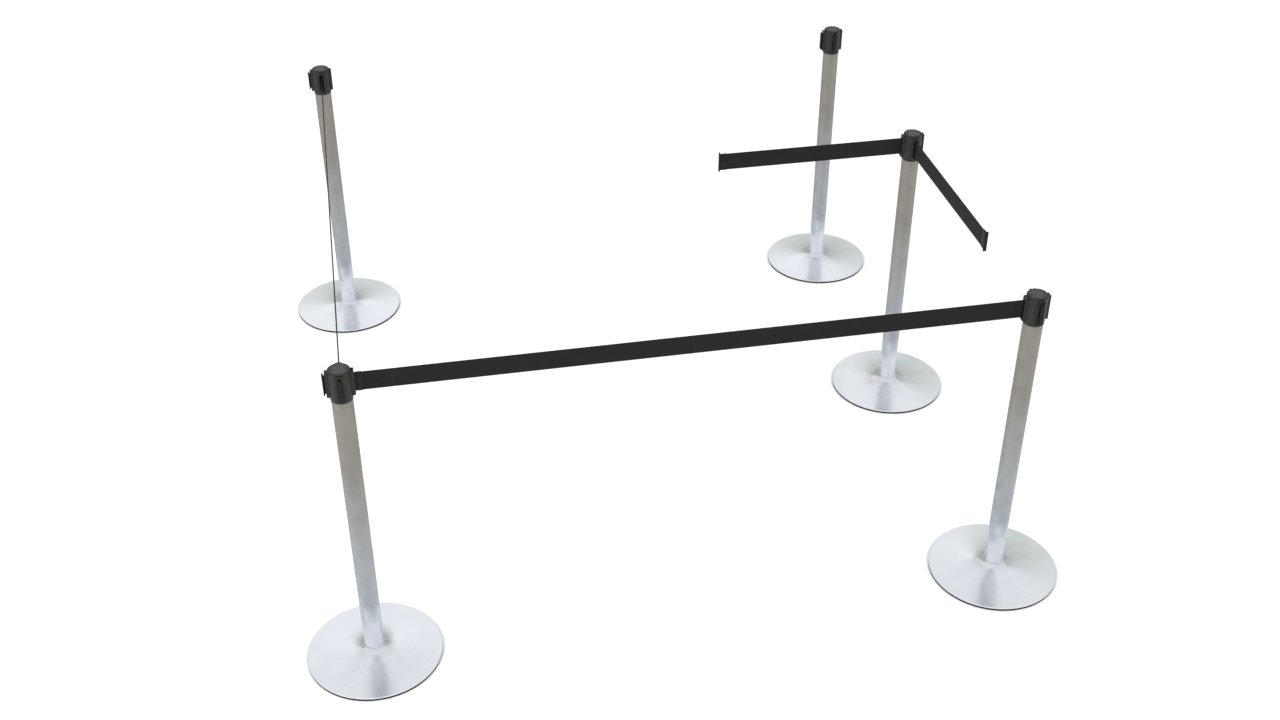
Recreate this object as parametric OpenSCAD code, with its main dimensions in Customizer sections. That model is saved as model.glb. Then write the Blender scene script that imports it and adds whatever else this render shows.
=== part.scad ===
// Five retractable-belt barrier posts on a rectangular plan, with their belts.
// The origin is on the floor, midway between the four corner posts.
// +X runs from post a to post b, +Y from post a to post e, +Z up.

/* [Layout] */
// Distance from post a to post b, centre to centre
span_x = 1697; // [1600:1:1720]
// Distance from post a to post e, centre to centre
span_y = 1722; // [1640:1:1740]
// Distance from post b to post c, centre to centre
c_offset = 914; // [850:1:960]
// How far both belts of post c are drawn out
c_drawn = 545; // [300:5:560]

/* [Post] */
// Overall height of a post
post_h = 893; // [850:1:950]
// Radius of the base
base_r = 175; // [165:1:190]
// Height of the base's upright rim
rim_h = 9; // [8:0.5:10]
// Outer radius of the tube
tube_r = 25.4; // [25.4:0.1:25.6]
// Wall of the tube
tube_wall = 1.2; // [1:0.1:1.3]
// Height of the head, cap included
head_h = 81; // [80:1:84]

/* [Belt] */
// Height of the belt webbing
belt_h = 50.8; // [48:0.1:51]
// Thickness of a belt where it is drawn out
belt_t = 0.6; // [0.4:0.1:0.8]
// Length of belt that a reel holds with its clip stowed
belt_full = 1780; // [1750:10:1800]
// Thickness of one wound turn
turn_t = 0.17; // [0.15:0.01:0.17]

/* [Hidden] */
$fn = 96;

// Where each post stands
a_at = [-span_x / 2, -span_y / 2];
b_at = [span_x / 2, -span_y / 2];
c_at = [span_x / 2, c_offset - span_y / 2];
d_at = [span_x / 2, span_y / 2];
e_at = [-span_x / 2, span_y / 2];

// Base
cover_t = 1.2;
trumpet_rise = 22;
trumpet_power = 0.55;
rim_share = pow(tube_r / base_r, trumpet_power);
flare_up = 6;
flare_out = 10;
flare_steps = 16;
cover_in = tube_r + 1.6;
rim_r = base_r - 1.6;
ring_h = 2.6;
ring_w = 15.2;
lip_r = base_r - 0.2;
lip_w = 1.6;
lip_h = 5.8;
skirt_z = 6;
seat_z = 18;
boss_r = 31;
weight_r = base_r - 2.2;
weight_gap = 0.15;
bolt_r = 6;
bolt_hole_r = 6.5;
counterbore_r = 15;
counterbore_z = 12.5;
end_plate_t = 8;

// Head, as radii from the post's axis and heights from the floor
head_z = post_h - head_h;
head_r = 26.8;
bore_r = 24.4;
cap_t = 4;
cap_chamfer = 2;
cap_z = post_h - cap_t;
plug_len = 20;
plug_r = tube_r - tube_wall - 0.1;
plug_bore_r = 21;
floor_t = 8;
floor_top = head_z + floor_t;
pad_out = 33.4;
pad_half_w = 7.6;
pad_in = 20;
pad_bottom = head_z + 8.5;
pad_top = cap_z - 0.8;
lug_z = cap_z - 7.5;
cap_screw_x = 17.6;
cap_screw_r = 1.5;
pad_screw_z = pad_top - 4.6;
pad_screw_r = 1.6;
pad_screw_head_r = 2.6;
pad_recess_r = 4.2;
pad_recess = 1.2;

// Belt slot in the left and front pads
slot_half_w = 2.7;
slot_low = head_z + 14;
slot_high = head_z + 68.9;
belt_z = head_z + 42;

// Receiver channel on the right and back pads, open at the top
channel_half_w = 5.4;
channel_out = 31.5;
channel_low = pad_bottom + 4;
lip_half_gap = 2.1;

// Clip, from its outer face inwards
bar_t = 3.8;
bar_half_w = 4.8;
bar_h = 58;
neck_t = 3;
neck_h = 51;
neck_len = 6.2;
sleeve_t = 4.5;
sleeve_h = 51.2;
sleeve_len = 13;
grip_depth = 6;
stowed_face = 40;
plugged_face = 27.2;

// Reel
reel_u = 6.5;
reel_v = 11.6;
core_r = 4.5;
axle_r = 2;
axle_hole_r = 2.06;
flange_r = 10.9;
drum_r = 9;
drum_h = 4.6;
reel_z = floor_top + 0.5;
part_gap = 0.05;
axle_z = head_z + 2;

// Free lengths of the drawn belts, from the post's axis to the clip's outer face
b_reach = span_x - plugged_face;
e_reach = span_y - plugged_face;
c_reach = stowed_face + c_drawn;

// Share of the flare still to climb: 0 where it leaves the trumpet, 1 at the tube
function flare_share(r) = max(0, (tube_r + flare_out - r) / flare_out);

// Outer surface of the base cover: a hollow trumpet that sweeps up the tube in a quarter ellipse
function cover_height(r) =
    rim_h
    + trumpet_rise * (pow(tube_r / r, trumpet_power) - rim_share) / (1 - rim_share)
    + flare_up * (1 - sqrt(1 - pow(flare_share(r), 2)));

function cover_slope(r) =
    -trumpet_rise * trumpet_power / r * pow(tube_r / r, trumpet_power) / (1 - rim_share)
    - flare_up / flare_out * flare_share(r) / sqrt(1 - pow(flare_share(r), 2));

// A point of the cover's surface, pushed inwards by depth
function cover_point(r, depth) =
    let (s = cover_slope(r), n = sqrt(1 + s * s))
    [r + depth * s / n, cover_height(r) - depth / n];

// Radii of the cover's rings, which crowd together towards the tube
cover_radii = [for (i = [0 : flare_steps]) cover_in + (rim_r - cover_in) * pow(i / flare_steps, 2.2)];

// Radius of the belt wound on a core when this much of it is drawn out
function coil_r(drawn) = sqrt(core_r * core_r + (belt_full - drawn) * turn_t / PI);

module base_weight() {
    depth = cover_t + weight_gap;
    under = [
        for (i = [flare_steps - 1 : -1 : 0])
            if (cover_radii[i] > boss_r) cover_point(cover_radii[i], depth)
    ];
    boss_top = under[len(under) - 1][1];
    color("dimgray")
    difference() {
        rotate_extrude()
            polygon(concat(
                [[0, ring_h], [weight_r, ring_h], [weight_r, rim_h - cover_t - 0.8]],
                under,
                [[tube_r + 0.2, boss_top], [tube_r + 0.2, seat_z], [0, seat_z]]
            ));
        translate([0, 0, ring_h - 1])
            cylinder(h = seat_z, r = bolt_hole_r);
        translate([0, 0, ring_h - 1])
            cylinder(h = counterbore_z - ring_h + 1, r = counterbore_r);
    }
}

module base_cover() {
    color("silver")
    rotate_extrude()
        polygon(concat(
            [for (r = cover_radii) cover_point(r, 0)],
            [[base_r, rim_h - 1], [base_r, skirt_z]],
            [[base_r - cover_t, skirt_z], [base_r - cover_t, rim_h - 1.6]],
            [for (i = [flare_steps : -1 : 0]) cover_point(cover_radii[i], cover_t)]
        ));
}

// Rubber ring under the weight, with a lip that shows below the cover's skirt
module floor_ring() {
    color("black")
    rotate_extrude()
        polygon([
            [lip_r - ring_w, 0],
            [lip_r - 0.6, 0],
            [lip_r, 1],
            [lip_r, lip_h],
            [lip_r - lip_w, lip_h],
            [lip_r - lip_w, ring_h],
            [lip_r - ring_w, ring_h]
        ]);
}

module tube() {
    color("lightgray")
    difference() {
        translate([0, 0, seat_z])
            cylinder(h = head_z - seat_z, r = tube_r);
        translate([0, 0, seat_z + end_plate_t])
            cylinder(h = head_z, r = tube_r - tube_wall);
        translate([0, 0, seat_z - 1])
            cylinder(h = end_plate_t + 2, r = bolt_hole_r);
    }
}

// A pad standing out towards +X
module pad_block() {
    translate([pad_in, -pad_half_w, pad_bottom])
        cube([pad_out - pad_in, 2 * pad_half_w, pad_top - pad_bottom]);
}

// The hollow of a belt pad: a through slot and a screw hole in a round recess
module belt_slot() {
    translate([bore_r - 8, -slot_half_w, slot_low])
        cube([pad_out, 2 * slot_half_w, slot_high - slot_low]);
    translate([pad_out - pad_recess, 0, pad_screw_z])
        rotate([0, 90, 0])
            cylinder(h = pad_recess + 1, r = pad_recess_r);
    translate([head_r, 0, pad_screw_z])
        rotate([0, 90, 0])
            cylinder(h = 8, r = pad_screw_r);
}

// The hollow of a receiver pad: a T-shaped channel that a clip drops into
module receiver_channel() {
    depth = pad_top - channel_low + 1;
    difference() {
        translate([pad_in, -channel_half_w, channel_low])
            cube([channel_out - pad_in, 2 * channel_half_w, depth]);
        translate([0, 0, head_z])
            cylinder(h = head_h, r = head_r);
    }
    translate([channel_out - 1, -lip_half_gap, channel_low])
        cube([pad_out - channel_out + 2, 2 * lip_half_gap, depth]);
}

// Screw lug inside the wall, towards +X
module cap_lug() {
    translate([cap_screw_x - 3.6, -3.6, lug_z])
        cube([bore_r - cap_screw_x + 4, 7.2, cap_z - lug_z]);
}

module head_housing() {
    color([0.235, 0.227, 0.216])
    difference() {
        union() {
            difference() {
                union() {
                    translate([0, 0, head_z])
                        cylinder(h = cap_z - head_z, r = head_r);
                    for (side = [0 : 90 : 270])
                        rotate([0, 0, side])
                            pad_block();
                }
                translate([0, 0, floor_top])
                    cylinder(h = head_h, r = bore_r);
            }
            intersection() {
                union() {
                    cap_lug();
                    rotate([0, 0, 180])
                        cap_lug();
                }
                translate([0, 0, lug_z])
                    cylinder(h = head_h, r = bore_r + 1);
            }
            translate([0, 0, head_z - plug_len])
                cylinder(h = plug_len + 1, r = plug_r);
        }
        translate([0, 0, head_z - plug_len - 1])
            cylinder(h = plug_len - 1, r = plug_bore_r);
        for (side = [180, 270])
            rotate([0, 0, side])
                belt_slot();
        for (side = [0, 90])
            rotate([0, 0, side])
                receiver_channel();
        for (side = [0, 180])
            rotate([0, 0, side])
                translate([cap_screw_x, 0, lug_z - 1])
                    cylinder(h = head_h, r = cap_screw_r);
        for (spot = [[-reel_u, reel_v], [reel_v, -reel_u]])
            translate([spot[0], spot[1], axle_z])
                cylinder(h = head_h, r = axle_r);
    }
}

module head_cap() {
    color([0.37, 0.38, 0.4])
    difference() {
        union() {
            translate([0, 0, cap_z])
                cylinder(h = cap_t - cap_chamfer, r = head_r);
            translate([0, 0, post_h - cap_chamfer])
                cylinder(h = cap_chamfer, r1 = head_r, r2 = head_r - cap_chamfer);
            for (spot = [[-reel_u, reel_v], [reel_v, -reel_u]])
                translate([spot[0], spot[1], cap_z - 3])
                    cylinder(h = 4, r = 3.5);
        }
        for (spot = [[-reel_u, reel_v], [reel_v, -reel_u]])
            translate([spot[0], spot[1], cap_z - 4])
                cylinder(h = 6, r = axle_r);
        for (x = [-cap_screw_x, cap_screw_x])
            translate([x, 0, 0]) {
                translate([0, 0, cap_z - 1])
                    cylinder(h = cap_t + 2, r = 1.7);
                translate([0, 0, post_h - 2])
                    cylinder(h = 2.1, r1 = 1.7, r2 = 3.3);
            }
    }
}

module pad_screw() {
    shank = pad_out - pad_recess - head_r;
    translate([head_r, 0, pad_screw_z])
        rotate([0, 90, 0])
            difference() {
                union() {
                    cylinder(h = shank, r = pad_screw_r - 0.05);
                    translate([0, 0, shank])
                        cylinder(h = 1, r = pad_screw_head_r);
                }
                translate([0, 0, shank + 0.3])
                    cylinder(h = 1, r = 1.2, $fn = 6);
            }
}

module cap_screw() {
    difference() {
        union() {
            translate([0, 0, lug_z])
                cylinder(h = cap_z - lug_z + 2, r = cap_screw_r - 0.05);
            translate([0, 0, post_h - 2])
                cylinder(h = 1.8, r1 = 1.6, r2 = 3);
        }
        for (turn = [0, 90])
            rotate([0, 0, turn])
                translate([-1.8, -0.35, post_h - 1.2])
                    cube([3.6, 0.7, 2]);
    }
}

// Tie bolt, its washer and nut, the cap's and pads' screws and the reels' axles
module fasteners() {
    color("gainsboro") {
        translate([0, 0, counterbore_z - 9.6])
            cylinder(h = 7.5, r = 10.4, $fn = 6);
        translate([0, 0, counterbore_z - 2.1])
            cylinder(h = seat_z + end_plate_t + 12 - counterbore_z, r = bolt_r);
        translate([0, 0, counterbore_z - 2])
            difference() {
                cylinder(h = 2, r = 12);
                translate([0, 0, -1])
                    cylinder(h = 4, r = bolt_r + 0.3);
            }
        translate([0, 0, seat_z + end_plate_t])
            difference() {
                cylinder(h = 8, r = 10.4, $fn = 6);
                translate([0, 0, -1])
                    cylinder(h = 10, r = bolt_r + 0.02);
            }
        for (side = [180, 270])
            rotate([0, 0, side])
                pad_screw();
        for (x = [-cap_screw_x, cap_screw_x])
            translate([x, 0, 0])
                cap_screw();
        for (spot = [[-reel_u, reel_v], [reel_v, -reel_u]])
            translate([spot[0], spot[1], axle_z])
                cylinder(h = cap_z + 1.5 - axle_z, r = axle_r);
    }
}

// Spring drum, flanged spool and wound belt, on an axis at the origin
module reel(drawn) {
    top = belt_z + belt_h / 2;
    bottom = belt_z - belt_h / 2;
    color("goldenrod")
    difference() {
        translate([0, 0, reel_z])
            cylinder(h = drum_h, r = drum_r);
        translate([0, 0, reel_z - 1])
            cylinder(h = drum_h + 2, r = axle_hole_r);
    }
    color("darkslategray")
    difference() {
        union() {
            translate([0, 0, reel_z + drum_h + part_gap])
                cylinder(h = bottom - reel_z - drum_h - part_gap, r = flange_r);
            translate([0, 0, bottom - 0.1])
                cylinder(h = belt_h + 0.2, r = core_r);
            translate([0, 0, top])
                cylinder(h = 0.8, r = flange_r);
        }
        translate([0, 0, reel_z])
            cylinder(h = head_h, r = axle_hole_r);
    }
    color([0.15, 0.15, 0.15])
    translate([0, 0, bottom + part_gap])
        difference() {
            cylinder(h = belt_h - 2 * part_gap, r = coil_r(drawn));
            translate([0, 0, -1])
                cylinder(h = belt_h + 2, r = core_r + part_gap);
        }
}

// Clip pointing towards -X, with its outer face this far from the axis
module clip(face) {
    neck_x = face - bar_t;
    sleeve_x = neck_x - neck_len;
    color([0.16, 0.16, 0.16])
    difference() {
        union() {
            translate([-face, -bar_half_w, belt_z - bar_h / 2])
                cube([bar_t, 2 * bar_half_w, bar_h]);
            translate([-neck_x - 0.1, -neck_t / 2, belt_z - neck_h / 2])
                cube([neck_len + 0.2, neck_t, neck_h]);
            translate([-sleeve_x, -sleeve_t / 2, belt_z - sleeve_h / 2])
                cube([sleeve_len, sleeve_t, sleeve_h]);
        }
        translate([-sleeve_x + sleeve_len - grip_depth, -belt_t, belt_z - belt_h / 2 - 0.4])
            cube([grip_depth + 1, 2 * belt_t, belt_h + 0.8]);
    }
}

// Drawn belt towards -X: it leaves the coil, turns at the slot and runs into the clip's sleeve
module belt(reach, drawn) {
    x_end = reach - bar_t - neck_len - sleeve_len + grip_depth - 0.4;
    leave_y = reel_v - coil_r(drawn) - 0.3 - belt_t;
    turn_x = bore_r - 1;
    color([0.15, 0.15, 0.15])
    translate([0, 0, belt_z - belt_h / 2])
        linear_extrude(height = belt_h)
            polygon([
                [-reel_u, leave_y],
                [-turn_x, -belt_t / 2],
                [-x_end, -belt_t / 2],
                [-x_end, belt_t / 2],
                [-turn_x, belt_t / 2],
                [-reel_u, leave_y + belt_t]
            ]);
}

// Children made for the left side, mirrored to the front
module to_front() {
    mirror([1, -1, 0])
        children();
}

module left_reel(drawn) {
    translate([-reel_u, reel_v, 0])
        reel(drawn);
}

module at(place) {
    translate([place[0], place[1], 0])
        children();
}

module a_base_weight() { at(a_at) base_weight(); }
module a_base_cover() { at(a_at) base_cover(); }
module a_floor_ring() { at(a_at) floor_ring(); }
module a_tube() { at(a_at) tube(); }
module a_head_housing() { at(a_at) head_housing(); }
module a_head_cap() { at(a_at) head_cap(); }
module a_fasteners() { at(a_at) fasteners(); }
module a_left_reel() { at(a_at) left_reel(0); }
module a_front_reel() { at(a_at) to_front() left_reel(0); }
module a_left_clip() { at(a_at) clip(stowed_face); }
module a_front_clip() { at(a_at) to_front() clip(stowed_face); }

module b_base_weight() { at(b_at) base_weight(); }
module b_base_cover() { at(b_at) base_cover(); }
module b_floor_ring() { at(b_at) floor_ring(); }
module b_tube() { at(b_at) tube(); }
module b_head_housing() { at(b_at) head_housing(); }
module b_head_cap() { at(b_at) head_cap(); }
module b_fasteners() { at(b_at) fasteners(); }
module b_left_reel() { at(b_at) left_reel(b_reach - stowed_face); }
module b_front_reel() { at(b_at) to_front() left_reel(0); }
module b_left_clip() { at(b_at) clip(b_reach); }
module b_front_clip() { at(b_at) to_front() clip(stowed_face); }

module c_base_weight() { at(c_at) base_weight(); }
module c_base_cover() { at(c_at) base_cover(); }
module c_floor_ring() { at(c_at) floor_ring(); }
module c_tube() { at(c_at) tube(); }
module c_head_housing() { at(c_at) head_housing(); }
module c_head_cap() { at(c_at) head_cap(); }
module c_fasteners() { at(c_at) fasteners(); }
module c_left_reel() { at(c_at) left_reel(c_drawn); }
module c_front_reel() { at(c_at) to_front() left_reel(c_drawn); }
module c_left_clip() { at(c_at) clip(c_reach); }
module c_front_clip() { at(c_at) to_front() clip(c_reach); }

module d_base_weight() { at(d_at) base_weight(); }
module d_base_cover() { at(d_at) base_cover(); }
module d_floor_ring() { at(d_at) floor_ring(); }
module d_tube() { at(d_at) tube(); }
module d_head_housing() { at(d_at) head_housing(); }
module d_head_cap() { at(d_at) head_cap(); }
module d_fasteners() { at(d_at) fasteners(); }
module d_left_reel() { at(d_at) left_reel(0); }
module d_front_reel() { at(d_at) to_front() left_reel(0); }
module d_left_clip() { at(d_at) clip(stowed_face); }
module d_front_clip() { at(d_at) to_front() clip(stowed_face); }

module e_base_weight() { at(e_at) base_weight(); }
module e_base_cover() { at(e_at) base_cover(); }
module e_floor_ring() { at(e_at) floor_ring(); }
module e_tube() { at(e_at) tube(); }
module e_head_housing() { at(e_at) head_housing(); }
module e_head_cap() { at(e_at) head_cap(); }
module e_fasteners() { at(e_at) fasteners(); }
module e_left_reel() { at(e_at) left_reel(0); }
module e_front_reel() { at(e_at) to_front() left_reel(e_reach - stowed_face); }
module e_left_clip() { at(e_at) clip(stowed_face); }
module e_front_clip() { at(e_at) to_front() clip(e_reach); }

module b_left_belt() { at(b_at) belt(b_reach, b_reach - stowed_face); }
module e_front_belt() { at(e_at) to_front() belt(e_reach, e_reach - stowed_face); }
module c_left_belt() { at(c_at) belt(c_reach, c_drawn); }
module c_front_belt() { at(c_at) to_front() belt(c_reach, c_drawn); }

a_base_weight();
a_base_cover();
a_floor_ring();
a_tube();
a_head_housing();
a_head_cap();
a_fasteners();
a_left_reel();
a_front_reel();
a_left_clip();
a_front_clip();
b_base_weight();
b_base_cover();
b_floor_ring();
b_tube();
b_head_housing();
b_head_cap();
b_fasteners();
b_left_reel();
b_front_reel();
b_left_clip();
b_front_clip();
c_base_weight();
c_base_cover();
c_floor_ring();
c_tube();
c_head_housing();
c_head_cap();
c_fasteners();
c_left_reel();
c_front_reel();
c_left_clip();
c_front_clip();
d_base_weight();
d_base_cover();
d_floor_ring();
d_tube();
d_head_housing();
d_head_cap();
d_fasteners();
d_left_reel();
d_front_reel();
d_left_clip();
d_front_clip();
e_base_weight();
e_base_cover();
e_floor_ring();
e_tube();
e_head_housing();
e_head_cap();
e_fasteners();
e_left_reel();
e_front_reel();
e_left_clip();
e_front_clip();
b_left_belt();
e_front_belt();
c_left_belt();
c_front_belt();
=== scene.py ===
"""Looks of the five-post belt barrier: detailed meshes and materials around the fixed CAD frame.

All lengths are in metres, in the row frame: floor at Z = 0, +X from post a to post b,
+Y from post a to post e. Profiles are (radius, height) pairs round a post's axis. Clips, belts
and the black pieces that paint shade on the pads are made for a left pad, on the -X side of their
post, and mirrored for a front one.
"""

import math

import bmesh
import bpy
import numpy as np
from mathutils import Matrix, Vector


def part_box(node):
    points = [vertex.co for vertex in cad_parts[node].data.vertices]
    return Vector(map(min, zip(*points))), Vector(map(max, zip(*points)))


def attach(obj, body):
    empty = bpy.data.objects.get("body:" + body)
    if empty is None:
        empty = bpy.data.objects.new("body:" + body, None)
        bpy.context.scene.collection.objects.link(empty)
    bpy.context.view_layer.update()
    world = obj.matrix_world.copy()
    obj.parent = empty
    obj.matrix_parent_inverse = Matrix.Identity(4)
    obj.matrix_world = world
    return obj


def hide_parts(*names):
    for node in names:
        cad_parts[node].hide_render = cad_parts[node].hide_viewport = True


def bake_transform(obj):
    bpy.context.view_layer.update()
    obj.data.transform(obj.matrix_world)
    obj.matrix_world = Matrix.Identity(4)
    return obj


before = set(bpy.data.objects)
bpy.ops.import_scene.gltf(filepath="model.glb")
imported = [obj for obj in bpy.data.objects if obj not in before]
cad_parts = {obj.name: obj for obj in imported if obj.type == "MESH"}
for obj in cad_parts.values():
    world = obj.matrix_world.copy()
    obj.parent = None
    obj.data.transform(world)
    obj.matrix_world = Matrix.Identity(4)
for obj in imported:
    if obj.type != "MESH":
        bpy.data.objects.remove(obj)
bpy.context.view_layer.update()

MM = 0.001
POSTS = ("a", "b", "c", "d", "e")
SIDES = ("left", "front")
RUNS_ALONG = {"left": 0, "front": 1}
TO_FRONT = Matrix(((0, 1, 0, 0), (1, 0, 0, 0), (0, 0, 1, 0), (0, 0, 0, 1)))

# What the frame says about sizes
tube_low, tube_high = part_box("a_tube")
head_low, head_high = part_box("a_head_housing")
base_low, base_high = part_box("a_base_cover")
TUBE_R = (tube_high.x - tube_low.x) / 2
BASE_R = (base_high.x - base_low.x) / 2
SKIRT_Z = base_low.z
CAP_Z = head_high.z
PAD_SCREW_Z = head_high.z - 5.4 * MM
BELT_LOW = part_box("b_left_belt")[0].z
BELT_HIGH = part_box("b_left_belt")[1].z
BELT_MIDDLE = (BELT_LOW + BELT_HIGH) / 2


def post_centre(post):
    """Where a post's axis meets the floor."""
    low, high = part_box(f"{post}_tube")
    return Vector(((low.x + high.x) / 2, (low.y + high.y) / 2, 0))


CENTRE = {post: post_centre(post) for post in POSTS}


# ---------------------------------------------------------------- node helpers


class Tree:
    """A node tree, with short ways to add and join nodes."""

    def __init__(self, tree):
        self.tree = tree

    def add(self, kind, **settings):
        node = self.tree.nodes.new(kind)
        for key, value in settings.items():
            setattr(node, key, value)
        return node

    def join(self, source, target):
        self.tree.links.new(source, target)

    def put(self, socket, value):
        """Set an input to a constant, or link it to an output."""
        if isinstance(value, bpy.types.NodeSocket):
            self.join(value, socket)
        else:
            socket.default_value = value

    def maths(self, operation, a, b=0.0):
        node = self.add("ShaderNodeMath", operation=operation)
        self.put(node.inputs[0], a)
        self.put(node.inputs[1], b)
        return node.outputs[0]

    def split(self, vector):
        node = self.add("ShaderNodeSeparateXYZ")
        self.join(vector, node.inputs[0])
        return node.outputs

    def span(self, value, low, high, to_low=0.0, to_high=1.0, **settings):
        """A value carried from one range to another, held at the ends."""
        node = self.add("ShaderNodeMapRange", **settings)
        self.put(node.inputs["Value"], value)
        for name, number in (
            ("From Min", low),
            ("From Max", high),
            ("To Min", to_low),
            ("To Max", to_high),
        ):
            node.inputs[name].default_value = number
        return node.outputs["Result"]

    def mix(self, factor, a, b):
        """Two colours mixed, each a constant or an output."""
        node = self.add("ShaderNodeMix", data_type="RGBA")
        self.put(node.inputs[0], factor)
        for socket, value in ((node.inputs[6], a), (node.inputs[7], b)):
            self.put(socket, value if isinstance(value, bpy.types.NodeSocket) else (*value, 1))
        return node.outputs[2]


class Nodes(Tree):
    """A new material's node tree, with what its textures are made of."""

    def __init__(self, name):
        self.material = bpy.data.materials.new(name)
        self.material.use_nodes = True
        super().__init__(self.material.node_tree)
        self.shader = self.tree.nodes["Principled BSDF"]
        self.point = self.add("ShaderNodeTexCoord").outputs["Object"]

    def offset(self, centre):
        """Object coordinates measured from a point."""
        node = self.add("ShaderNodeVectorMath", operation="SUBTRACT")
        self.join(self.point, node.inputs[0])
        node.inputs[1].default_value = centre
        return node.outputs[0]

    def vector(self, x=0.0, y=0.0, z=0.0):
        node = self.add("ShaderNodeCombineXYZ")
        for socket, value in zip(node.inputs, (x, y, z)):
            self.put(socket, value)
        return node.outputs[0]

    def stretched(self, a, a_scale, b, b_scale):
        """A flat vector with its own scale along each of two values."""
        return self.vector(self.maths("MULTIPLY", a, a_scale), self.maths("MULTIPLY", b, b_scale))

    def polar(self, centre):
        """Radius, angle and height round an upright axis."""
        x, y, z = self.split(self.offset(centre))
        across = self.add("ShaderNodeVectorMath", operation="LENGTH")
        self.join(self.vector(x, y), across.inputs[0])
        return across.outputs["Value"], self.maths("ARCTAN2", y, x), z

    def from_axis(self, centre):
        """The level direction that points away from an upright axis."""
        x, y, _ = self.split(self.offset(centre))
        node = self.add("ShaderNodeVectorMath", operation="NORMALIZE")
        self.join(self.vector(x, y), node.inputs[0])
        return node.outputs[0]

    def noise(self, vector, scale, detail=4.0, roughness=0.55):
        node = self.add("ShaderNodeTexNoise")
        self.join(vector, node.inputs["Vector"])
        node.inputs["Scale"].default_value = scale
        node.inputs["Detail"].default_value = detail
        node.inputs["Roughness"].default_value = roughness
        return node.outputs["Fac"]

    def ramp(self, factor, first, second):
        """Colours along a factor, between two stops of (position, colour)."""
        node = self.add("ShaderNodeValToRGB")
        for element, (position, colour) in zip(node.color_ramp.elements, (first, second)):
            element.position = position
            element.color = (*colour, 1)
        self.join(factor, node.inputs[0])
        return node.outputs[0]

    def bump(self, height, distance, strength, under=None):
        """Relief of this depth in metres, on top of another bump if one is given."""
        node = self.add("ShaderNodeBump")
        self.join(height, node.inputs["Height"])
        node.inputs["Distance"].default_value = distance
        node.inputs["Strength"].default_value = strength
        if under is not None:
            self.join(under, node.inputs["Normal"])
        return node.outputs[0]

    def finish(self, colour, roughness, normal=None, **constants):
        for name, value in (("Base Color", colour), ("Roughness", roughness), ("Normal", normal)):
            if value is not None:
                self.join(value, self.shader.inputs[name])
        for name, value in constants.items():
            self.shader.inputs[name.replace("_", " ")].default_value = value
        return self.material


# ------------------------------------------------------------------- materials


def spun_steel(post):
    """Satin sheet spun on a lathe: fine rings, faint radial smears, and painted shade that darkens
    it round the tube.
    """
    throat = 34 * MM
    n = Nodes(f"spun_steel_{post}")
    radius, angle, _ = n.polar(CENTRE[post])
    rings = n.noise(n.stretched(radius, 900.0, angle, 0.35), 1.0, 5.0, 0.7)
    smears = n.noise(n.stretched(radius, 5.0, angle, 1.6), 1.4, 3.0)
    patina = n.noise(n.point, 21.0, 5.0)
    ring_tone = n.ramp(rings, (0.3, (0.69, 0.695, 0.71)), (0.7, (0.78, 0.785, 0.8)))
    smear_tone = n.ramp(smears, (0.3, (0.68, 0.685, 0.7)), (0.7, (0.79, 0.79, 0.8)))
    tone = n.mix(0.4, ring_tone, smear_tone)
    tone = n.mix(n.span(patina, 0.55, 0.75, 0.0, 0.25), tone, (0.66, 0.67, 0.68))
    # Painted shade: the cover darkens towards the tube, within a throat's reach of where the tube
    # stands in it
    tone = n.mix(n.span(radius, TUBE_R, TUBE_R + throat, 0.55, 0.0), tone, (0.46, 0.465, 0.49))
    rough = n.span(rings, 0.3, 0.7, 0.2, 0.27)
    rough = n.maths("ADD", rough, n.span(smears, 0.3, 0.7, -0.02, 0.04))
    n.join(n.from_axis(CENTRE[post]), n.shader.inputs["Tangent"])
    return n.finish(tone, rough, n.bump(rings, 0.03 * MM, 0.15), Metallic=1.0, Anisotropic=0.3)


def brushed_tube(post):
    """Belt-polished tube with hair lines round it, and painted reflection in its tone: warm and
    darker at the head, cool below, pale at the foot.
    """
    n = Nodes(f"brushed_tube_{post}")
    _, angle, height = n.polar(CENTRE[post])
    hair = n.noise(n.stretched(angle, 0.9, height, 1500.0), 1.0, 6.0, 0.75)
    bands = n.noise(n.stretched(angle, 0.9, height, 14.0), 1.0, 4.0)
    smudge = n.noise(n.offset(CENTRE[post]), 26.0, 5.0, 0.6)
    # Painted reflection: the tones by height stand in for a darker room mirrored up at the head and
    # the bright cover mirrored at the foot
    warm = n.ramp(hair, (0.25, (0.34, 0.322, 0.286)), (0.75, (0.46, 0.437, 0.391)))
    cool = n.ramp(hair, (0.25, (0.5, 0.54, 0.59)), (0.75, (0.62, 0.665, 0.72)))
    foot = n.ramp(hair, (0.25, (0.82, 0.83, 0.88)), (0.75, (0.9, 0.91, 0.95)))
    level = n.maths("ADD", height, n.span(bands, 0.3, 0.7, -0.04, 0.04))
    tone = n.mix(n.span(level, 0.62, 0.12), warm, cool)
    tone = n.mix(n.span(level, 0.16, 0.03), tone, foot)
    tone = n.mix(n.span(smudge, 0.5, 0.75, 0.0, 0.3), tone, (0.42, 0.41, 0.385))
    rough = n.span(hair, 0.25, 0.75, 0.5, 0.62)
    rough = n.maths("ADD", rough, n.span(smudge, 0.45, 0.75, 0.0, 0.1))
    rough = n.maths("SUBTRACT", rough, n.span(level, 0.2, 0.1, 0.0, 0.25))
    n.join(n.vector(z=1.0), n.shader.inputs["Tangent"])
    return n.finish(tone, rough, n.bump(hair, 0.04 * MM, 0.3), Metallic=1.0, Anisotropic=0.95)


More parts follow.
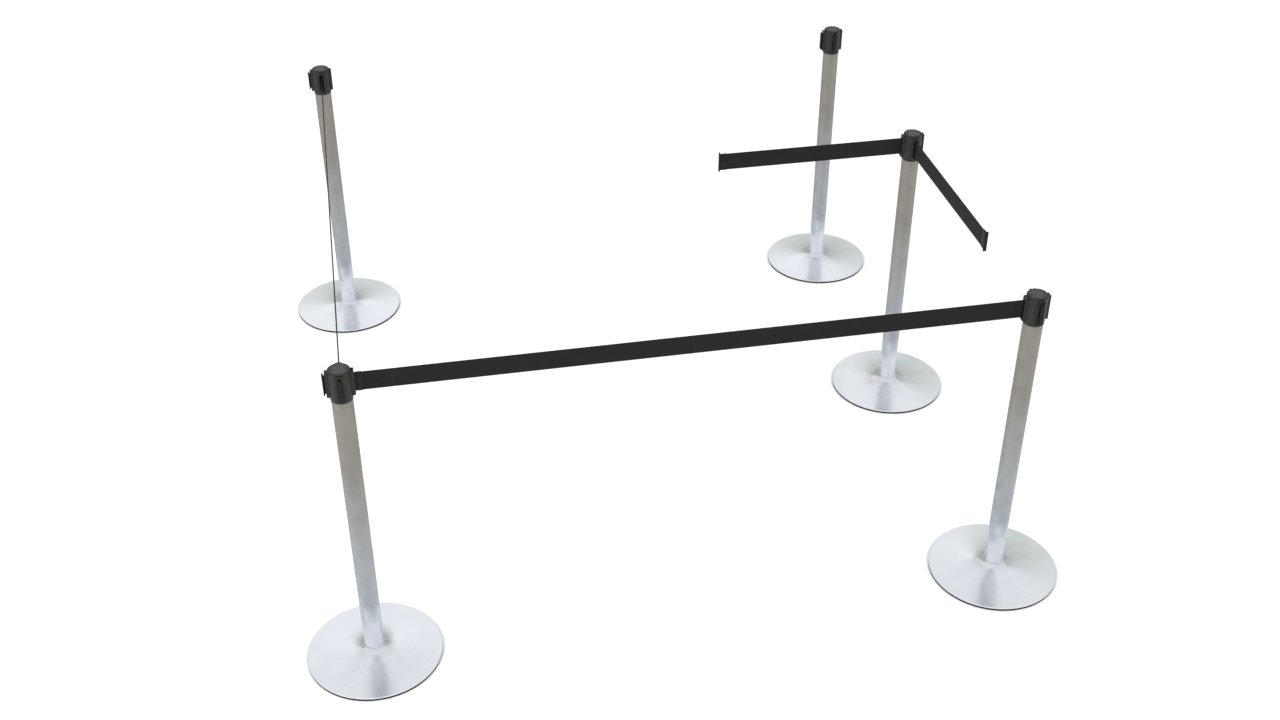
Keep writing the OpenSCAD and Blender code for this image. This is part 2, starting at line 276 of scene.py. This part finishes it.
def moulded(name, dark, light, rough, specular=0.25):
    """Moulded plastic: spark-eroded grain, a slow change of gloss and paler rubbed spots."""
    n = Nodes(name)
    grains = n.noise(n.point, 2300.0, 3.0, 0.6)
    cloud = n.noise(n.point, 60.0, 4.0)
    rubbed = n.noise(n.point, 320.0, 6.0, 0.7)
    tone = n.mix(n.span(cloud, 0.3, 0.7), dark, light)
    tone = n.mix(n.span(rubbed, 0.62, 0.8, 0.0, 0.5), tone, tuple(1.6 * c for c in light))
    gloss = n.span(grains, 0.3, 0.7, rough - 0.06, rough + 0.06)
    gloss = n.maths("ADD", gloss, n.span(cloud, 0.3, 0.7, -0.04, 0.04))
    return n.finish(tone, gloss, n.bump(grains, 0.05 * MM, 0.5), Specular_IOR_Level=specular)


def cap_plastic(post):
    """The lid's plastic: a greyer satin disc inside a darker rim, with faint turning rings."""
    disc_edge, rim_start = 21.7 * MM, 22.1 * MM
    n = Nodes(f"cap_plastic_{post}")
    radius, angle, _ = n.polar(CENTRE[post])
    grains = n.noise(n.point, 2300.0, 3.0, 0.6)
    rings = n.noise(n.stretched(radius, 2600.0, angle, 0.4), 1.0, 4.0, 0.6)
    cloud = n.noise(n.point, 60.0, 4.0)
    disc = n.mix(n.span(cloud, 0.3, 0.7), (0.043, 0.0445, 0.0475), (0.055, 0.0565, 0.06))
    disc = n.mix(n.span(rings, 0.45, 0.75, 0.0, 0.4), disc, (0.068, 0.07, 0.074))
    tone = n.mix(n.span(radius, disc_edge, rim_start), disc, (0.019, 0.0178, 0.0165))
    gloss = n.span(grains, 0.3, 0.7, 0.36, 0.48)
    return n.finish(tone, gloss, n.bump(grains, 0.04 * MM, 0.5), Specular_IOR_Level=0.25)


def webbing(side):
    """Polyester webbing: warp yarns along the belt, crossed by the weft, and a dark firm edge."""
    warp_pitch, weft_pitch = 1.15 * MM, 0.9 * MM
    edge_start, edge_full = 2.2 * MM, 1.2 * MM
    n = Nodes(f"webbing_{side}")
    axes = n.split(n.point)
    run, rise = axes[RUNS_ALONG[side]], axes[2]
    column = n.maths("MULTIPLY", rise, 1 / warp_pitch)
    half_step = n.maths("MULTIPLY", n.maths("FLOOR", column), 0.5)
    shifted = n.maths("ADD", n.maths("MULTIPLY", run, 1 / weft_pitch), half_step)
    yarn_across = n.maths("ABSOLUTE", n.maths("SINE", n.maths("MULTIPLY", column, math.pi)))
    yarn_along = n.maths("ABSOLUTE", n.maths("SINE", n.maths("MULTIPLY", shifted, math.pi)))
    yarns = n.maths("POWER", n.maths("MULTIPLY", yarn_across, yarn_along), 0.6)
    fibres = n.noise(n.stretched(run, 900.0, rise, 5200.0), 1.0, 4.0)
    wear = n.noise(n.point, 13.0, 5.0, 0.6)
    half = (BELT_HIGH - BELT_LOW) / 2
    from_middle = n.maths("ABSOLUTE", n.maths("SUBTRACT", rise, BELT_MIDDLE))
    edge = n.span(from_middle, half - edge_start, half - edge_full)
    tone = n.ramp(yarns, (0.1, (0.007, 0.007, 0.0072)), (0.75, (0.023, 0.023, 0.0232)))
    tone = n.mix(n.span(fibres, 0.5, 0.8, 0.0, 0.35), tone, (0.034, 0.034, 0.0345))
    tone = n.mix(n.span(wear, 0.5, 0.75, 0.0, 0.4), tone, (0.026, 0.026, 0.0264))
    tone = n.mix(n.maths("MULTIPLY", edge, 0.65), tone, (0.008, 0.008, 0.0085))
    rough = n.span(yarns, 0.0, 1.0, 0.92, 0.72)
    relief = n.bump(fibres, 0.05 * MM, 0.4, n.bump(yarns, 0.18 * MM, 0.8))
    return n.finish(
        tone, rough, relief, Specular_IOR_Level=0.08, Sheen_Weight=0.015, Sheen_Roughness=0.5
    )


def cast_iron():
    """Bare casting: coarse grit and patches of a browner grey."""
    n = Nodes("cast_iron")
    grit = n.noise(n.point, 700.0, 6.0, 0.7)
    patches = n.noise(n.point, 24.0, 5.0)
    tone = n.mix(n.span(patches, 0.35, 0.7), (0.05, 0.05, 0.053), (0.085, 0.075, 0.068))
    rough = n.span(grit, 0.3, 0.7, 0.6, 0.85)
    return n.finish(tone, rough, n.bump(grit, 0.4 * MM, 0.6), Metallic=0.6)


def rubber():
    """Black rubber with a fine grain and a little dust."""
    n = Nodes("rubber")
    grain = n.noise(n.point, 1400.0, 4.0, 0.6)
    dust = n.noise(n.point, 45.0, 5.0, 0.6)
    tone = n.mix(n.span(dust, 0.45, 0.8, 0.0, 0.6), (0.016, 0.016, 0.017), (0.055, 0.053, 0.05))
    rough = n.span(grain, 0.3, 0.7, 0.72, 0.92)
    return n.finish(tone, rough, n.bump(grain, 0.08 * MM, 0.5), Specular_IOR_Level=0.3)


def blackened():
    """Black oxide on steel: fine mottling, with the steel showing through where it is rubbed."""
    n = Nodes("fastener_steel")
    mottle = n.noise(n.point, 900.0, 4.0)
    rubbed = n.noise(n.point, 420.0, 5.0, 0.7)
    tone = n.mix(n.span(mottle, 0.3, 0.7), (0.02, 0.02, 0.022), (0.035, 0.034, 0.034))
    tone = n.mix(n.span(rubbed, 0.6, 0.8, 0.0, 0.5), tone, (0.11, 0.11, 0.11))
    rough = n.span(mottle, 0.3, 0.7, 0.35, 0.5)
    return n.finish(tone, rough, n.bump(mottle, 0.03 * MM, 0.4), Metallic=0.8)


HOUSING = moulded("head_plastic", (0.019, 0.0172, 0.0152), (0.027, 0.0246, 0.022), 0.5)
CLIP = moulded("clip_plastic", (0.011, 0.0104, 0.0097), (0.0165, 0.0156, 0.0145), 0.5, 0.13)
# Black that paints shade on the pads, in thin sheets and rings
SHADE_BLACK = moulded("painted_shade_black", (0.004, 0.004, 0.004), (0.008, 0.008, 0.008), 0.6, 0.1)
REEL = moulded("reel_plastic", (0.03, 0.03, 0.034), (0.045, 0.045, 0.05), 0.5)
IRON = cast_iron()
RUBBER = rubber()
OXIDE = blackened()
WEB = {side: webbing(side) for side in SIDES}
SPUN = {post: spun_steel(post) for post in POSTS}
TUBE = {post: brushed_tube(post) for post in POSTS}
CAP = {post: cap_plastic(post) for post in POSTS}


# --------------------------------------------------------------- mesh helpers

ON_AXIS = 1e-7


def shade(bm, sharp=32.0):
    """Smooth shading, but for edges sharper than this angle in degrees."""
    for face in bm.faces:
        face.smooth = True
    for edge in bm.edges:
        edge.smooth = len(edge.link_faces) == 2 and edge.calc_face_angle(0) < math.radians(sharp)


def to_object(bm, name, material, sharp=32.0):
    """An object from a bmesh, which is used up."""
    bmesh.ops.recalc_face_normals(bm, faces=bm.faces)
    shade(bm, sharp)
    mesh = bpy.data.meshes.new(name)
    bm.to_mesh(mesh)
    bm.free()
    mesh.materials.append(material)
    made = bpy.data.objects.new(name, mesh)
    bpy.context.scene.collection.objects.link(made)
    return made


def lathe(profile, segments):
    """A closed solid from a closed profile of (radius, height) turned round the Z axis."""
    bm = bmesh.new()
    turns = [2 * math.pi * k / segments for k in range(segments)]
    rings = []
    for radius, height in profile:
        if radius < ON_AXIS:
            spots = [(0, 0, height)]
        else:
            spots = [(radius * math.cos(t), radius * math.sin(t), height) for t in turns]
        rings.append([bm.verts.new(spot) for spot in spots])
    for ring, following in zip(rings, rings[1:] + rings[:1]):
        if len(ring) == 1 and len(following) == 1:
            continue
        for k in range(segments):
            after = (k + 1) % segments
            corners = [ring[k % len(ring)], ring[after % len(ring)]]
            corners += [following[after % len(following)], following[k % len(following)]]
            bm.faces.new(list(dict.fromkeys(corners)))
    return bm


def arc(centre, radius, start, end, steps=5):
    """Points of a circular arc in a profile, angles in degrees."""
    angles = [math.radians(start + (end - start) * k / steps) for k in range(steps + 1)]
    return [(centre[0] + radius * math.cos(t), centre[1] + radius * math.sin(t)) for t in angles]


def place(bm, centre):
    """Moves what was made at the origin."""
    bmesh.ops.transform(bm, matrix=Matrix.Translation(centre), verts=bm.verts)
    return bm


def on_pad(bm, post, side):
    """Moves what was made for a left pad at the origin to one of a post's pads."""
    if side == "front":
        bmesh.ops.transform(bm, matrix=TO_FRONT, verts=bm.verts)
    return place(bm, CENTRE[post])


def rounded_block(bm, low, high, bevel, segments=3):
    """Adds a box with rounded edges to a bmesh."""
    made = bmesh.ops.create_cube(bm, size=1.0)["verts"]
    size = Vector(high) - Vector(low)
    middle = (Vector(high) + Vector(low)) / 2
    bmesh.ops.scale(bm, vec=size, verts=made)
    bmesh.ops.translate(bm, vec=middle, verts=made)
    edges = list(dict.fromkeys(edge for vert in made for edge in vert.link_edges))
    bmesh.ops.bevel(bm, geom=edges, offset=bevel, segments=segments, profile=0.5, affect="EDGES")


def cut(target, tool):
    """Subtracts one mesh from another and removes the tool."""
    step = target.modifiers.new("cut", "BOOLEAN")
    step.operation, step.solver, step.object = "DIFFERENCE", "EXACT", tool
    bpy.context.view_layer.update()
    graph = bpy.context.evaluated_depsgraph_get()
    mesh = bpy.data.meshes.new_from_object(target.evaluated_get(graph))
    target.modifiers.clear()
    target.data = mesh
    bpy.data.objects.remove(tool)


def shade_again(piece):
    """Shades a piece anew after it was cut."""
    bm = bmesh.new()
    bm.from_mesh(piece.data)
    shade(bm)
    bm.to_mesh(piece.data)
    bm.free()


def ride_as(piece, body, slot, *nodes):
    """Puts a finished piece on its body and lets it stand for its CAD nodes."""
    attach(piece, body)
    if nodes:
        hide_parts(*nodes)


# ------------------------------------------------------------------------ base

COVER_T = 1.2 * MM
RIM_H = 9 * MM
RIM_ROLL = 2.2 * MM
TRUMPET_RISE = 22 * MM
TRUMPET_POWER = 0.55
FLARE_UP = 6 * MM
FLARE_OUT = 10 * MM


def cover_height(radius):
    """Height of the cover's outer surface: a hollow trumpet, then a quarter ellipse up the tube."""
    at_rim = (TUBE_R / BASE_R) ** TRUMPET_POWER
    trumpet = ((TUBE_R / radius) ** TRUMPET_POWER - at_rim) / (1 - at_rim)
    share = max(0, (TUBE_R + FLARE_OUT - radius) / FLARE_OUT)
    return RIM_H + TRUMPET_RISE * trumpet + FLARE_UP * (1 - math.sqrt(1 - share * share))


def base_cover(post):
    """The spun cover: a trumpet that ends in a rolled rim and a short skirt."""
    tube_gap, crowding, steps = 0.35 * MM, 2.4, 48
    inner, outer = TUBE_R + tube_gap, BASE_R - RIM_ROLL
    radii = [inner + (outer - inner) * (k / steps) ** crowding for k in range(steps + 1)]
    top = [(radius, cover_height(radius)) for radius in radii]
    rim_top = cover_height(outer)
    skirt = arc((BASE_R - RIM_ROLL, rim_top - RIM_ROLL), RIM_ROLL, 84, 0, 6)
    hem = [(BASE_R, SKIRT_Z + 0.4 * MM), (BASE_R - 0.4 * MM, SKIRT_Z), (BASE_R - COVER_T, SKIRT_Z)]
    under = [(BASE_R - COVER_T, rim_top - RIM_ROLL)]
    under += [(r, cover_height(r) - COVER_T) for r in reversed(radii[:-1]) if r > TUBE_R + 3 * MM]
    under += [(inner + 0.6 * MM, cover_height(inner) - 5 * MM)]
    bm = place(lathe(top + skirt + hem + under, 224), CENTRE[post])
    piece = to_object(bm, f"{post}_spun_cover", SPUN[post], 40)
    ride_as(piece, f"post_{post}", "spun_steel", f"{post}_base_cover")


def floor_ring(post):
    """The rubber ring: two grooves underneath, and a rounded lip that shows below the skirt."""
    low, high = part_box(f"{post}_floor_ring")
    outer = (high.x - low.x) / 2
    inner, lip, ring_h = outer - 15.2 * MM, outer - 1.6 * MM, 2.6 * MM
    groove_half, groove_top, groove_depth = 1.4 * MM, 0.9 * MM, 0.6 * MM
    profile = [(inner, ring_h), (inner, 0.5 * MM), (inner + 0.5 * MM, 0)]
    for share in (0.3, 0.6):
        middle = inner + share * (outer - inner)
        profile += [(middle - groove_half, 0), (middle - groove_top, groove_depth)]
        profile += [(middle + groove_top, groove_depth), (middle + groove_half, 0)]
    profile += arc((outer - 1 * MM, 1 * MM), 1 * MM, -90, 0)
    profile += arc((outer - 0.7 * MM, high.z - 0.7 * MM), 0.7 * MM, 0, 90)
    profile += [(lip, high.z), (lip, ring_h)]
    piece = to_object(place(lathe(profile, 192), CENTRE[post]), f"{post}_rubber_ring", RUBBER)
    ride_as(piece, f"post_{post}", "rubber", f"{post}_floor_ring")


# ------------------------------------------------------------------------ post

CAP_SCREW_X = 17.6 * MM
CAP_CHAMFER = 2 * MM
CAP_EASE = 0.5 * MM
# Radius, half width at the top, and depth of each groove in the lid
CAP_GROOVES = ((17.6 * MM, 0.45 * MM, 0.35 * MM), (21.9 * MM, 0.7 * MM, 0.6 * MM))
GROOVE_FLOOR = 0.2 * MM


def tube(post):
    """The tube with its eased ends and the plate welded in its foot, bored for the tie bolt."""
    low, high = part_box(f"{post}_tube")
    inner, bolt_r, plate_top = TUBE_R - 1.2 * MM, 6.5 * MM, low.z + 8 * MM
    ease, weld, steps = 0.3 * MM, 2.4 * MM, 24
    profile = [(bolt_r, low.z), (TUBE_R - ease, low.z), (TUBE_R, low.z + ease)]
    length = high.z - low.z - 2 * ease
    profile += [(TUBE_R, low.z + ease + length * k / steps) for k in range(1, steps + 1)]
    profile += [(TUBE_R - ease, high.z), (inner, high.z)]
    profile += arc((inner - weld, plate_top + weld), weld, 0, -90)
    profile += [(bolt_r, plate_top)]
    piece = to_object(place(lathe(profile, 128), CENTRE[post]), f"{post}_brushed_tube", TUBE[post])
    ride_as(piece, f"post_{post}", "brushed_steel", f"{post}_tube")


def head_cap(post):
    """The lid: chamfered, with two ring grooves and two countersunk screw holes."""
    low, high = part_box(f"{post}_head_cap")
    outer, top = (high.x - low.x) / 2, high.z
    profile = [(0, top)]
    for ring_r, half, depth in CAP_GROOVES:
        profile += [(ring_r - half, top), (ring_r - GROOVE_FLOOR, top - depth)]
        profile += [(ring_r + GROOVE_FLOOR, top - depth), (ring_r + half, top)]
    profile += arc((outer - CAP_CHAMFER - CAP_EASE, top - CAP_EASE), CAP_EASE, 90, 45, 3)
    profile += arc((outer - CAP_EASE, top - CAP_CHAMFER - 0.3 * MM), CAP_EASE, 45, 0, 3)
    profile += [(outer, CAP_Z + 0.2 * MM), (outer - 0.2 * MM, CAP_Z), (0, CAP_Z)]
    lid = to_object(place(lathe(profile, 128), CENTRE[post]), f"{post}_lid", CAP[post])
    bore_r, sink_r, mouth_r = 1.7 * MM, 3.3 * MM, 3.7 * MM
    below, above = CAP_Z - 1 * MM, top + 0.2 * MM
    bore = [(0, below), (bore_r, below), (bore_r, top - 2 * MM)]
    bore += [(sink_r, top - 0.35 * MM), (mouth_r, above), (0, above)]
    for x in (-CAP_SCREW_X, CAP_SCREW_X):
        tool = place(lathe(bore, 32), CENTRE[post] + Vector((x, 0, 0)))
        cut(lid, to_object(tool, "bore", CAP[post]))
    shade_again(lid)
    ride_as(lid, f"post_{post}", "cap_plastic", f"{post}_head_cap")


# -------------------------------------------------------------------- painted shade on the pads

SCREW_SEAT_X = 32.2 * MM
PAD_FACE_X = 33.4 * MM
# Sizes of the black pieces that paint shade on a pad: a ring of painted shade in the screw's
# recess, and a sheet of painted shade round the slot
SHADE_T = 0.35 * MM
SHADE_BEVEL = 0.12 * MM
SCREW_SHADE_BORE, SCREW_SHADE_RIM = 2.7 * MM, 3.5 * MM
SLOT_HALF, SLOT_SHADE_HALF = 2.8 * MM, 6.3 * MM
SLOT_SHADE_LOW, SLOT_SHADE_HIGH = head_low.z + 33.2 * MM, PAD_SCREW_Z - 4.4 * MM
SLOT_SHADE_SILL = 2 * MM


def pad_painted_shade(post, side):
    """Black pieces that paint shade on a belt pad: a thin sheet round the slot, where the slot and
    a stowed clip's bar cast shade, and a ring under the pad's screw, for the shade in its recess.
    """
    # A ring of painted shade under the screw
    screw_shade = [(SCREW_SHADE_BORE, 0), (SCREW_SHADE_RIM, 0), (SCREW_SHADE_RIM, SHADE_T * 0.6)]
    screw_shade += [(SCREW_SHADE_RIM - 0.15 * MM, SHADE_T), (SCREW_SHADE_BORE, SHADE_T)]
    bm = lathe(screw_shade, 48)
    outwards = Vector((-1, 0, 0)).to_track_quat("Z", "Y").to_matrix().to_4x4()
    seat = Matrix.Translation(Vector((-SCREW_SEAT_X, 0, PAD_SCREW_Z)))
    bmesh.ops.transform(bm, matrix=seat @ outwards, verts=bm.verts)
    # The sheet of painted shade: both sides of the slot, and a sill below it
    for start, end, low, high in (
        (-SLOT_SHADE_HALF, -SLOT_HALF, SLOT_SHADE_LOW, SLOT_SHADE_HIGH),
        (SLOT_HALF, SLOT_SHADE_HALF, SLOT_SHADE_LOW, SLOT_SHADE_HIGH),
        (-SLOT_SHADE_HALF, SLOT_SHADE_HALF, SLOT_SHADE_LOW - SLOT_SHADE_SILL, SLOT_SHADE_LOW),
    ):
        inner, outer = (-PAD_FACE_X, end, high), (-PAD_FACE_X - SHADE_T, start, low)
        rounded_block(bm, outer, inner, SHADE_BEVEL, 2)
    shade_pieces = to_object(on_pad(bm, post, side), f"{post}_{side}_pad_painted_shade", SHADE_BLACK)
    ride_as(shade_pieces, f"post_{post}", "clip_plastic")


# ----------------------------------------------------------------------- clips

BAR_T, NECK_LEN, SLEEVE_LEN = 3.8 * MM, 6.2 * MM, 13 * MM
NECK_HALF, SLEEVE_HALF = 25.5 * MM, 25.6 * MM
RIB_LEVELS = [level * MM for level in (-22, -11, 0, 11, 22)]
RIB_SPANS = ((-3.2 * MM, -1.4 * MM), (1.4 * MM, 3.2 * MM))
SHELL_SPANS = ((-2.25 * MM, -0.62 * MM), (0.62 * MM, 2.25 * MM))


def clip(post, side):
    """A belt clip: rounded T bar with finger ribs, its neck, and the sleeve that grips the belt."""
    node = f"{post}_{side}_clip"
    low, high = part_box(node)
    along = RUNS_ALONG[side]
    face = CENTRE[post][along] - low[along]
    bar_half = (high[1 - along] - low[1 - along]) / 2
    middle, half = (low.z + high.z) / 2, (high.z - low.z) / 2
    bm = bmesh.new()

    def block(start, length, span, rise_half, bevel, segments=3, level=0.0):
        """A rounded block from start inwards, between two places across, round a level."""
        bottom, top = middle + level - rise_half, middle + level + rise_half
        inner, outer = (start + length, span[1], top), (start, span[0], bottom)
        rounded_block(bm, outer, inner, bevel, segments)

    block(-face, BAR_T, (-bar_half, bar_half), half, 0.9 * MM, 4)
    neck = -face + BAR_T - 1 * MM
    block(neck, NECK_LEN + 2 * MM, (-1.5 * MM, 1.5 * MM), NECK_HALF, 0.5 * MM)
    for level in RIB_LEVELS:
        for span in RIB_SPANS:
            block(neck + 0.5 * MM, 2.7 * MM, span, 0.6 * MM, 0.3 * MM, 2, level)
    sleeve = -face + BAR_T + NECK_LEN
    for span in SHELL_SPANS:
        block(sleeve, SLEEVE_LEN, span, SLEEVE_HALF, 0.45 * MM)
    block(sleeve, 6.6 * MM, (-1.2 * MM, 1.2 * MM), SLEEVE_HALF - 0.1 * MM, 0.2 * MM, 2)
    piece = to_object(on_pad(bm, post, side), f"{post}_{side}_belt_clip", CLIP, 50)
    ride_as(piece, node, "clip_plastic", node)


# ----------------------------------------------------------------------- belts

BELT_T = 0.6 * MM
BELT_END = 17.4 * MM  # from the clip's outer face in to the end of its belt
SLOT_X = 23.4 * MM
REEL_U, REEL_V = 6.5 * MM, 11.6 * MM  # a reel's axis, outwards and sideways of the post's
SECTION_ROWS = 26
FIRM_EDGE = 2.5 * MM
SEGMENT = 12 * MM


def belt_section():
    """Half thickness up the belt's height: firm rolled edges and shallow lengthwise ribs."""
    section = []
    for k in range(SECTION_ROWS + 1):
        share = k / SECTION_ROWS
        from_edge = min(share, 1 - share) * (BELT_HIGH - BELT_LOW)
        half = BELT_T / 2 * (0.78 + 0.22 * (k % 2))
        if from_edge < FIRM_EDGE:
            half = BELT_T / 2
        section.append((BELT_LOW + share * (BELT_HIGH - BELT_LOW), half))
    return section


def belt_line(reach, leave):
    """A belt's middle line: off its coil at y = leave, through the slot and out to x = -reach."""
    line = [(-REEL_U - (SLOT_X - REEL_U) * k / 4, leave * (1 - k / 4)) for k in range(5)]
    if reach < SLOT_X:
        return [(x, y) for x, y in line if -x < reach - 0.1 * MM] + [(-reach, 0)]
    free = reach - SLOT_X
    steps = max(1, round(free / SEGMENT))
    return line + [(-SLOT_X - free * k / steps, 0) for k in range(1, steps + 1)]


def coil_box(post, side):
    """Lowest and highest place of the wound belt across its reel, from its top rim and middle."""
    rim, near_rim, near_middle = BELT_HIGH - 0.06 * MM, 0.03 * MM, 5 * MM
    across = 1 - RUNS_ALONG[side]
    spots = [
        v.co[across]
        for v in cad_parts[f"{post}_{side}_reel"].data.vertices
        if abs(v.co.z - rim) < near_rim or abs(v.co.z - BELT_MIDDLE) < near_middle
    ]
    return min(spots), max(spots)


def belt(post, side):
    """A belt from its coil through the slot to its clip's sleeve."""
    along = RUNS_ALONG[side]
    reach = CENTRE[post][along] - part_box(f"{post}_{side}_clip")[0][along] - BELT_END
    coil_low, coil_high = coil_box(post, side)
    coil_r = (coil_high - coil_low) / 2
    line = belt_line(reach, REEL_V - coil_r - 0.3 * MM - BELT_T / 2)
    section = belt_section()
    bm = bmesh.new()
    loops = []
    for x, y in line:
        front = [bm.verts.new((x, y - half, z)) for z, half in section]
        back = [bm.verts.new((x, y + half, z)) for z, half in reversed(section)]
        loops.append(front + back)
    for loop, following in zip(loops, loops[1:]):
        for k in range(len(loop)):
            after = (k + 1) % len(loop)
            bm.faces.new((loop[k], loop[after], following[after], following[k]))
    bm.faces.new(loops[0])
    bm.faces.new(loops[-1])
    piece = to_object(on_pad(bm, post, side), f"{post}_{side}_webbing", WEB[side], 60)
    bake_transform(piece)
    node = f"{post}_{side}_belt"
    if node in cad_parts:
        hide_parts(node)


# --------------------------------------------------------------- carried nodes


def finish_cad_node(name, material, bevel=0.0):
    """Gives a CAD node that stays its material, and eases its edges."""
    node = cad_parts[name]
    node.data.materials.clear()
    node.data.materials.append(material)
    if bevel:
        step = node.modifiers.new("eased_edges", "BEVEL")
        step.width, step.segments, step.limit_method = bevel, 3, "ANGLE"
        step.angle_limit = math.radians(40)
        step.harden_normals = True


for post in POSTS:
    base_cover(post)
    floor_ring(post)
    tube(post)
    head_cap(post)
    for side in SIDES:
        pad_painted_shade(post, side)
        clip(post, side)
        belt(post, side)
        finish_cad_node(f"{post}_{side}_reel", REEL)
    finish_cad_node(f"{post}_base_weight", IRON, 0.6 * MM)
    finish_cad_node(f"{post}_head_housing", HOUSING, 0.45 * MM)
    finish_cad_node(f"{post}_fasteners", OXIDE, 0.12 * MM)


# ------------------------------------------------------ floor, light and camera


def pale_floor():
    """A plain floor, far wider than the barrier."""
    bm = bmesh.new()
    bmesh.ops.create_grid(bm, x_segments=1, y_segments=1, size=30)
    n = Nodes("pale_floor")
    grain = n.noise(n.point, 30.0, 4.0)
    tone = n.ramp(grain, (0.3, (0.93, 0.93, 0.93)), (0.7, (0.945, 0.945, 0.945)))
    rough = n.span(grain, 0.3, 0.7, 0.75, 0.85)
    floor = to_object(bm, "floor", n.finish(tone, rough, Specular_IOR_Level=0.1))


def soft_light(name, stands, aim, size, watts, colour=(1, 1, 1)):
    """A rectangular lamp that metal doesn't mirror."""
    lamp = bpy.data.lights.new(name, "AREA")
    lamp.shape, lamp.size, lamp.size_y = "RECTANGLE", size[0], size[1]
    lamp.energy, lamp.color = watts, colour
    made = bpy.data.objects.new(name, lamp)
    made.location = stands
    made.rotation_euler = (Vector(aim) - Vector(stands)).to_track_quat("-Z", "Y").to_euler()
    made.visible_glossy = False
    bpy.context.scene.collection.objects.link(made)


def surroundings():
    """A plain white studio. Metal reflects it graded: an open front, and at the back a soft band
    over a grey-green wall whose top is higher on the right. Heights are sines of elevation."""
    world = bpy.data.worlds.new("studio")
    bpy.context.scene.world = world
    world.use_nodes = True
    n = Tree(world.node_tree)

    def smooth(value, low, high):
        return n.span(value, low, high, interpolation_type="SMOOTHSTEP")

    right, depth, rise = n.split(n.add("ShaderNodeTexCoord").outputs["Generated"])
    wall_top = n.span(right, 0.3, 0.42, 0.485, 0.63)
    below_top = smooth(n.maths("SUBTRACT", rise, wall_top), 0.025, -0.025)
    behind = smooth(depth, 0.1, 0.5)
    open_side = n.mix(smooth(right, -0.5, 0.6), (1.15, 1.16, 1.2), (1.05, 1.08, 1.14))
    wall = n.mix(smooth(rise, 0.28, 0.22), (0.64, 0.69, 0.655), (0.42, 0.45, 0.43))
    band = n.mix(smooth(rise, 0.5, 0.77), (1.3, 1.32, 1.38), (0.96, 0.98, 1.03))
    in_wall = n.maths("MULTIPLY", below_top, behind)
    reflected = n.mix(in_wall, n.mix(behind, open_side, band), wall)
    path = n.add("ShaderNodeLightPath")
    shining = n.mix(path.outputs["Is Glossy Ray"], (1.1, 1.1, 1.1), reflected)
    background = n.tree.nodes["Background"]
    n.join(n.mix(path.outputs["Is Camera Ray"], shining, (1.0, 1.0, 1.0)), background.inputs[0])
    background.inputs[1].default_value = 1.0


def camera():
    """Stands in front, left of the middle, and looks 34 degrees down and 11 to the right."""
    lens_mm, sensor_mm, down, right = 43.5, 36, 34.18, 11.07
    data = bpy.data.cameras.new("camera")
    data.lens, data.sensor_width = lens_mm, sensor_mm
    made = bpy.data.objects.new("camera", data)
    made.location = (-0.731, -3.846, 2.8915)
    made.rotation_euler = (math.radians(90 - down), 0, math.radians(-right))
    bpy.context.scene.collection.objects.link(made)
    bpy.context.scene.camera = made


pale_floor()
surroundings()
soft_light("key", (-3.6, -1.6, 3.6), (0, 0, 0.3), (3.0, 2.4), 60)
soft_light("fill", (3.6, -1.8, 3.4), (0.2, 0, 0.3), (2.6, 2.6), 16, (1.0, 0.98, 0.93))
camera()
bpy.context.scene.view_settings.view_transform = "Standard"
